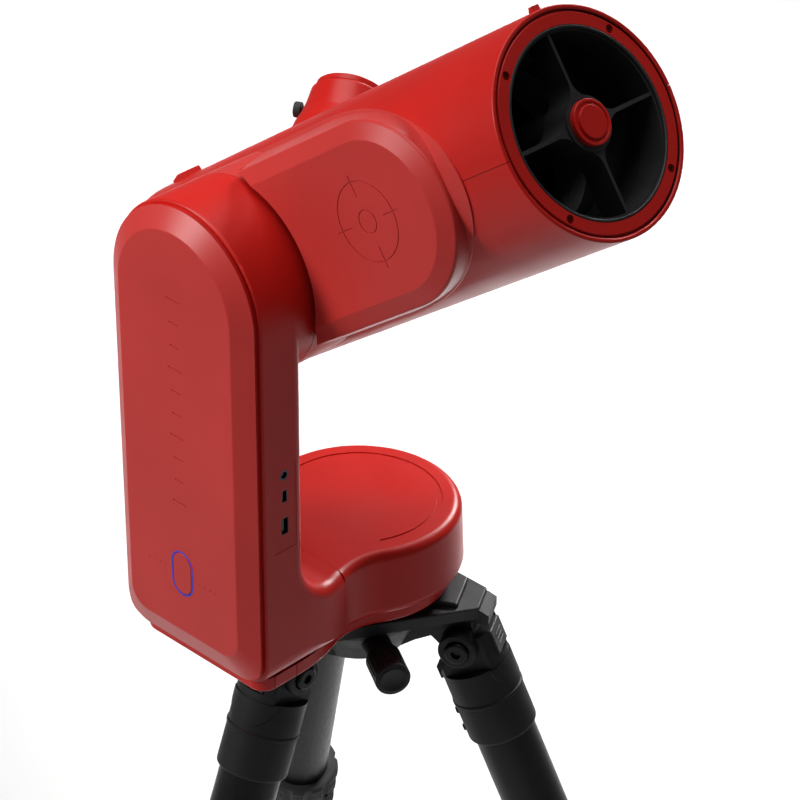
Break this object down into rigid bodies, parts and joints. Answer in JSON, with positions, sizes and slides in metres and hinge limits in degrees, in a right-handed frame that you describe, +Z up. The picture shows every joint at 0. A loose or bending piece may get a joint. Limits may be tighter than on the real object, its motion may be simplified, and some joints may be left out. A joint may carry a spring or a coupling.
{
  "type": "star tracker mount",
  "caption": "Motorised single-arm altazimuth tracking mount with its own reflecting telescope and eyepiece, on a folding tripod with twist-lock legs.",
  "frame": {"origin": "on the floor, under the middle of the bounding box, with the telescope raised to its stored altitude", "axes": "+Z up, -Y the way the telescope looks, +X from the arm towards the telescope"},
  "size_m": [0.5374, 0.6188, 1.2284],
  "materials": {
    "shell_red": "satin moulded",
    "cover_red": "satin moulded",
    "ring_red": "satin moulded",
    "black_plastic": "fine matt",
    "port_black": "satin moulded",
    "socket_metal": "dark plated",
    "led_blue": "diffuse light guide",
    "battery_wrap": "shrink wrap",
    "motor_steel": "plain",
    "gear_brass": "machined",
    "gear_metal": "machined",
    "screw_black": "blackened",
    "mirror": "silvered",
    "lens": "coated",
    "head_black": "powder coated",
    "bolt_black": "blackened",
    "casting_black": "reinforced, fine matt",
    "stop_grey": "matt anodised",
    "tube_black": "satin black anodised",
    "lock_black": "ribbed grip",
    "knob_black": "knurled",
    "foot_rubber": "matt"
  },
  "bodies": {
    "stand": {"tripod_head": "head_black", "bubble_level": "lens", "pivot_bolts": "bolt_black", "azimuth_gear": "gear_metal"},
    "mount": {"arm_shell": "shell_red", "arm_cover": "cover_red", "led_ring": "led_blue", "base_shell": "shell_red", "bottom_cover": "shell_red", "port_panel": "port_black", "dc_socket": "socket_metal", "usb_c_socket": "socket_metal", "usb_a_socket": "socket_metal", "battery_pack": "battery_wrap", "altitude_bearing": "motor_steel", "altitude_motor": "motor_steel", "azimuth_bearing": "motor_steel", "azimuth_motor": "motor_steel"},
    "telescope": {"tube_upper_shell": "shell_red", "tube_lower_shell": "shell_red", "front_ring": "ring_red", "ring_screws": "screw_black", "inner_baffle": "black_plastic", "spider": "black_plastic", "hub_cap": "ring_red", "camera_module": "black_plastic", "primary_mirror": "mirror", "mirror_cell": "black_plastic", "rear_cover": "shell_red", "side_pod": "cover_red", "altitude_gear": "gear_metal", "eyepiece_housing": "shell_red", "eyepiece_lens": "lens"},
    "button": {"power_button": "cover_red"},
    "azimuth_pinion": {"azimuth_pinion": "gear_brass"},
    "altitude_pinion": {"altitude_pinion": "gear_brass"},
    "focus_wheel": {"focus_wheel": "black_plastic"},
    "eyepiece_ring": {"eyepiece_ring": "ring_red"},
    "focus_knob": {"focus_knob": "black_plastic"},
    "knob_1": {"clamp_knob_1": "knob_black"},
    "knob_2": {"clamp_knob_2": "knob_black"},
    "knob_3": {"clamp_knob_3": "knob_black"},
    "leg_1": {"leg_casting_1": "casting_black", "upper_tube_1": "tube_black"},
    "stop_1": {"angle_stop_1": "stop_grey"},
    "lock_1": {"twist_lock_1": "lock_black"},
    "lower_leg_1": {"lower_tube_1": "tube_black", "rubber_foot_1": "foot_rubber"},
    "leg_2": {"leg_casting_2": "casting_black", "upper_tube_2": "tube_black"},
    "stop_2": {"angle_stop_2": "stop_grey"},
    "lock_2": {"twist_lock_2": "lock_black"},
    "lower_leg_2": {"lower_tube_2": "tube_black", "rubber_foot_2": "foot_rubber"},
    "leg_3": {"leg_casting_3": "casting_black", "upper_tube_3": "tube_black"},
    "stop_3": {"angle_stop_3": "stop_grey"},
    "lock_3": {"twist_lock_3": "lock_black"},
    "lower_leg_3": {"lower_tube_3": "tube_black", "rubber_foot_3": "foot_rubber"}
  },
  "joints": [
    {"name": "azimuth_turn", "type": "hinge", "parent": "stand", "child": "mount", "pos_m": [0.08155, 0.00285, 0.68512], "axis": [0, 0, 1], "continuous": true},
    {"name": "altitude_tilt", "type": "hinge", "parent": "mount", "child": "telescope", "pos_m": [-0.05045, 0.00285, 0.96952], "axis": [-1, 0, 0], "range_deg": [-35.6, 54.4]},
    {"name": "azimuth_pinion_turn", "type": "hinge", "parent": "mount", "child": "azimuth_pinion", "pos_m": [0.02755, 0.00285, 0.65912], "axis": [0, 0, 1], "continuous": true},
    {"name": "altitude_pinion_turn", "type": "hinge", "parent": "mount", "child": "altitude_pinion", "pos_m": [-0.06945, 0.00285, 0.91552], "axis": [-1, 0, 0], "range_deg": [-272, 272]},
    {"name": "power_button_press", "type": "slide", "parent": "mount", "child": "button", "axis": [1, 0, 0], "range_m": [0, 0.0012], "stiffness_N_per_m": 1500},
    {"name": "focus_wheel_turn", "type": "hinge", "parent": "telescope", "child": "focus_wheel", "pos_m": [0.04655, 0.15165, 0.86299], "axis": [0, 0.8131, -0.5821], "range_deg": [-180, 180]},
    {"name": "eyepiece_ring_turn", "type": "hinge", "parent": "telescope", "child": "eyepiece_ring", "pos_m": [0.13635, 0.06651, 1.03439], "axis": [0.7071, 0.4116, 0.5749], "range_deg": [-90, 90]},
    {"name": "focus_knob_turn", "type": "hinge", "parent": "telescope", "child": "focus_knob", "pos_m": [0.10633, 0.09069, 1.02444], "axis": [-0.5, 0.866, -0.0051], "range_deg": [-180, 180]},
    {"name": "knob_1_turn", "type": "hinge", "parent": "stand", "child": "knob_1", "pos_m": [0.04355, -0.06296, 0.59912], "axis": [-0.5, -0.866, 0], "range_deg": [-180, 0]},
    {"name": "knob_2_turn", "type": "hinge", "parent": "stand", "child": "knob_2", "pos_m": [0.15755, 0.00285, 0.59912], "axis": [1, 0, 0], "range_deg": [-180, 0]},
    {"name": "knob_3_turn", "type": "hinge", "parent": "stand", "child": "knob_3", "pos_m": [0.04355, 0.06867, 0.59912], "axis": [-0.5, 0.866, 0], "range_deg": [-180, 0]},
    {"name": "leg_1_fold", "type": "hinge", "parent": "stand", "child": "leg_1", "pos_m": [0.12745, -0.07665, 0.58802], "axis": [0.866, 0.5, 0], "range_deg": [0, 21.5]},
    {"name": "stop_1_pull", "type": "slide", "parent": "leg_1", "child": "stop_1", "axis": [0.4652, -0.8058, 0.3665], "range_m": [0, 0.007], "stiffness_N_per_m": 300},
    {"name": "lock_1_turn", "type": "hinge", "parent": "leg_1", "child": "lock_1", "pos_m": [0.18976, -0.18456, 0.27168], "axis": [0.1833, -0.3174, -0.9304], "range_deg": [0, 60]},
    {"name": "lower_leg_1_slide", "type": "slide", "parent": "leg_1", "child": "lower_leg_1", "axis": [0.1833, -0.3174, -0.9304], "range_m": [-0.15, 0.15]},
    {"name": "leg_2_fold", "type": "hinge", "parent": "stand", "child": "leg_2", "pos_m": [0.12745, 0.08235, 0.58802], "axis": [-0.866, 0.5, 0], "range_deg": [0, 21.5]},
    {"name": "stop_2_pull", "type": "slide", "parent": "leg_2", "child": "stop_2", "axis": [0.4652, 0.8058, 0.3665], "range_m": [0, 0.007], "stiffness_N_per_m": 300},
    {"name": "lock_2_turn", "type": "hinge", "parent": "leg_2", "child": "lock_2", "pos_m": [0.18976, 0.19027, 0.27168], "axis": [0.1833, 0.3174, -0.9304], "range_deg": [0, 60]},
    {"name": "lower_leg_2_slide", "type": "slide", "parent": "leg_2", "child": "lower_leg_2", "axis": [0.1833, 0.3174, -0.9304], "range_m": [-0.15, 0.15]},
    {"name": "leg_3_fold", "type": "hinge", "parent": "stand", "child": "leg_3", "pos_m": [-0.01025, 0.00285, 0.58802], "axis": [0, -1, 0], "range_deg": [0, 21.5]},
    {"name": "stop_3_pull", "type": "slide", "parent": "leg_3", "child": "stop_3", "axis": [-0.9304, 0, 0.3665], "range_m": [0, 0.007], "stiffness_N_per_m": 300},
    {"name": "lock_3_turn", "type": "hinge", "parent": "leg_3", "child": "lock_3", "pos_m": [-0.13486, 0.00285, 0.27168], "axis": [-0.3665, 0, -0.9304], "range_deg": [0, 60]},
    {"name": "lower_leg_3_slide", "type": "slide", "parent": "leg_3", "child": "lower_leg_3", "axis": [-0.3665, 0, -0.9304], "range_m": [-0.15, 0.15]}
  ],
  "couplings": [
    {"joint": "azimuth_pinion_turn", "follows": "azimuth_turn", "ratio": 5},
    {"joint": "altitude_pinion_turn", "follows": "altitude_tilt", "ratio": -5}
  ]
}
